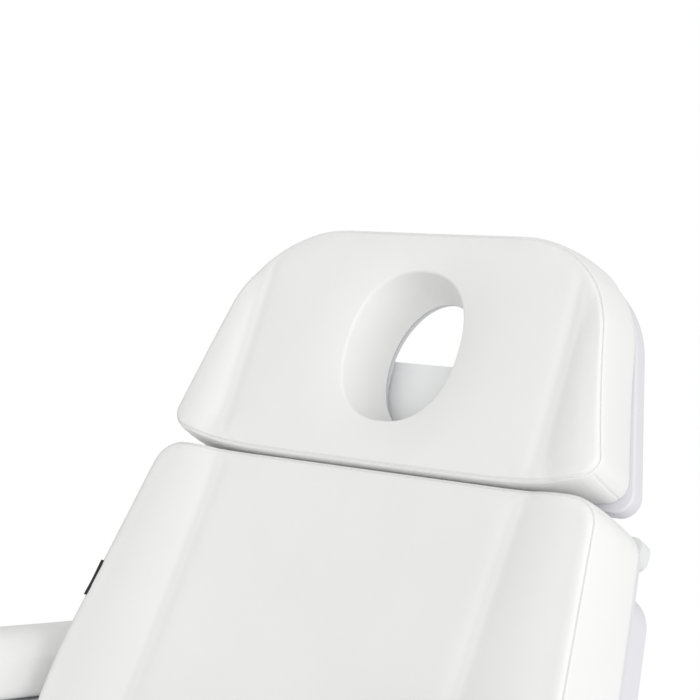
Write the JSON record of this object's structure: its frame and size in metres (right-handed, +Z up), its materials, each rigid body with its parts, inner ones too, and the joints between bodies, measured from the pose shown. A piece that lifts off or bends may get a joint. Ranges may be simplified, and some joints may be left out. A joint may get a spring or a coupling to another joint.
{
  "type": "pedicure chair",
  "caption": "Electric treatment chair with channelled upholstery, face-hole headrest, flip-up armrests, swinging split leg rests, tilting seat and telescopic lifting column.",
  "frame": {"origin": "on the floor, under the middle of the chair's overall length and width at rest", "axes": "+Z up, the sitter faces -Y, +X to the sitter's left"},
  "size_m": [0.846, 1.452, 1.1982],
  "materials": {
    "upholstery": "matt white leatherette",
    "shell_plastic": "satin white moulded plastic",
    "painted_steel": "white powder coat",
    "column_aluminium": "satin anodised",
    "bright_steel": "ground",
    "plywood": "raw birch ply",
    "black_plastic": "fine grained",
    "nylon": "natural nylon",
    "foot_rubber": "matt",
    "tag_cloth": "woven, blank"
  },
  "bodies": {
    "base": {"base_frame": "painted_steel", "base_cover": "shell_plastic", "foot_pads": "foot_rubber", "foot_studs": "bright_steel", "control_box": "black_plastic", "mains_inlet": "black_plastic", "handset_socket": "black_plastic", "cover_screws": "bright_steel", "column_lower": "painted_steel", "lift_actuator": "black_plastic"},
    "column_middle": {"column_middle": "column_aluminium", "glides_lower": "nylon", "lift_actuator_stage": "bright_steel"},
    "column_top": {"column_inner": "column_aluminium", "glides_upper": "nylon", "lift_actuator_rod": "bright_steel", "column_head": "painted_steel", "tilt_bushes": "nylon", "tilt_actuator": "black_plastic"},
    "tilt_rod": {"tilt_actuator_rod": "bright_steel"},
    "seat": {"seat_frame": "painted_steel", "seat_board": "plywood", "seat_cushion": "upholstery", "seat_skirt": "shell_plastic", "tilt_shaft": "bright_steel", "back_hinge_pins": "bright_steel", "back_hinge_caps": "shell_plastic", "back_actuator": "black_plastic", "armrest_brackets": "painted_steel", "armrest_pins": "bright_steel"},
    "back_rod": {"back_actuator_rod": "bright_steel"},
    "backrest": {"backrest_frame": "painted_steel", "backrest_board": "shell_plastic", "backrest_cushion": "upholstery", "backrest_shell": "shell_plastic", "headrest_beam": "painted_steel", "back_hinge_bushes": "nylon", "side_tag": "tag_cloth", "headrest_pin": "bright_steel"},
    "headrest_bracket": {"headrest_bracket": "painted_steel"},
    "headrest": {"headrest_board": "shell_plastic", "headrest_cushion": "upholstery", "headrest_guides": "column_aluminium"},
    "armrest_left": {"armrest_pad_left": "upholstery", "armrest_tray_left": "shell_plastic"},
    "legrest_arm_left": {"legrest_arm_left": "painted_steel"},
    "legrest_left": {"legrest_cushion_left": "upholstery", "legrest_board_left": "plywood", "legrest_shell_left": "shell_plastic", "legrest_frame_left": "painted_steel"},
    "armrest_right": {"armrest_pad_right": "upholstery", "armrest_tray_right": "shell_plastic"},
    "legrest_arm_right": {"legrest_arm_right": "painted_steel"},
    "legrest_right": {"legrest_cushion_right": "upholstery", "legrest_board_right": "plywood", "legrest_shell_right": "shell_plastic", "legrest_frame_right": "painted_steel"}
  },
  "joints": [
    {"name": "lift", "type": "slide", "parent": "base", "child": "column_top", "axis": [0, 0, 1], "range_m": [0, 0.26]},
    {"name": "lift_stage", "type": "slide", "parent": "base", "child": "column_middle", "axis": [0, 0, 1], "range_m": [0, 0.13]},
    {"name": "seat_tilt", "type": "hinge", "parent": "column_top", "child": "seat", "pos_m": [0, -0.00921, 0.41], "axis": [-1, 0, 0], "range_deg": [-9, 9]},
    {"name": "tilt_push", "type": "slide", "parent": "column_top", "child": "tilt_rod", "axis": [0, 0, 1], "range_m": [-0.025, 0.025]},
    {"name": "back_recline", "type": "hinge", "parent": "seat", "child": "backrest", "pos_m": [0, 0.27232, 0.46159], "axis": [-1, 0, 0], "range_deg": [-8, 66]},
    {"name": "back_push", "type": "slide", "parent": "seat", "child": "back_rod", "axis": [0, -0.9877, 0.1564], "range_m": [-0.02, 0.12]},
    {"name": "headrest_tilt", "type": "hinge", "parent": "backrest", "child": "headrest_bracket", "pos_m": [0, 0.61477, 0.90979], "axis": [-1, 0, 0], "range_deg": [0, 45]},
    {"name": "headrest_height", "type": "slide", "parent": "headrest_bracket", "child": "headrest", "axis": [0, 0.454, 0.891], "range_m": [0, 0.08]},
    {"name": "armrest_flip_left", "type": "hinge", "parent": "seat", "child": "armrest_left", "pos_m": [-0.35, 0.36209, 0.64481], "axis": [-1, 0, 0], "range_deg": [0, 80]},
    {"name": "legrest_swing_left", "type": "hinge", "parent": "seat", "child": "legrest_arm_left", "pos_m": [-0.262, -0.28868, 0.55045], "axis": [0, -0.1564, -0.9877], "range_deg": [0, 50]},
    {"name": "legrest_tilt_left", "type": "hinge", "parent": "legrest_arm_left", "child": "legrest_left", "pos_m": [-0.15, -0.2965, 0.50106], "axis": [-1, 0, 0], "range_deg": [-25, 45]},
    {"name": "armrest_flip_right", "type": "hinge", "parent": "seat", "child": "armrest_right", "pos_m": [0.35, 0.36209, 0.64481], "axis": [-1, 0, 0], "range_deg": [0, 80]},
    {"name": "legrest_swing_right", "type": "hinge", "parent": "seat", "child": "legrest_arm_right", "pos_m": [0.262, -0.28868, 0.55045], "axis": [0, 0.1564, 0.9877], "range_deg": [0, 50]},
    {"name": "legrest_tilt_right", "type": "hinge", "parent": "legrest_arm_right", "child": "legrest_right", "pos_m": [0.15, -0.2965, 0.50106], "axis": [-1, 0, 0], "range_deg": [-25, 45]}
  ],
  "couplings": [
    {"joint": "lift_stage", "follows": "lift", "ratio": 0.5},
    {"joint": "tilt_push", "follows": "seat_tilt", "m_per_rad": 0.15},
    {"joint": "back_push", "follows": "back_recline", "m_per_rad": 0.101}
  ]
}
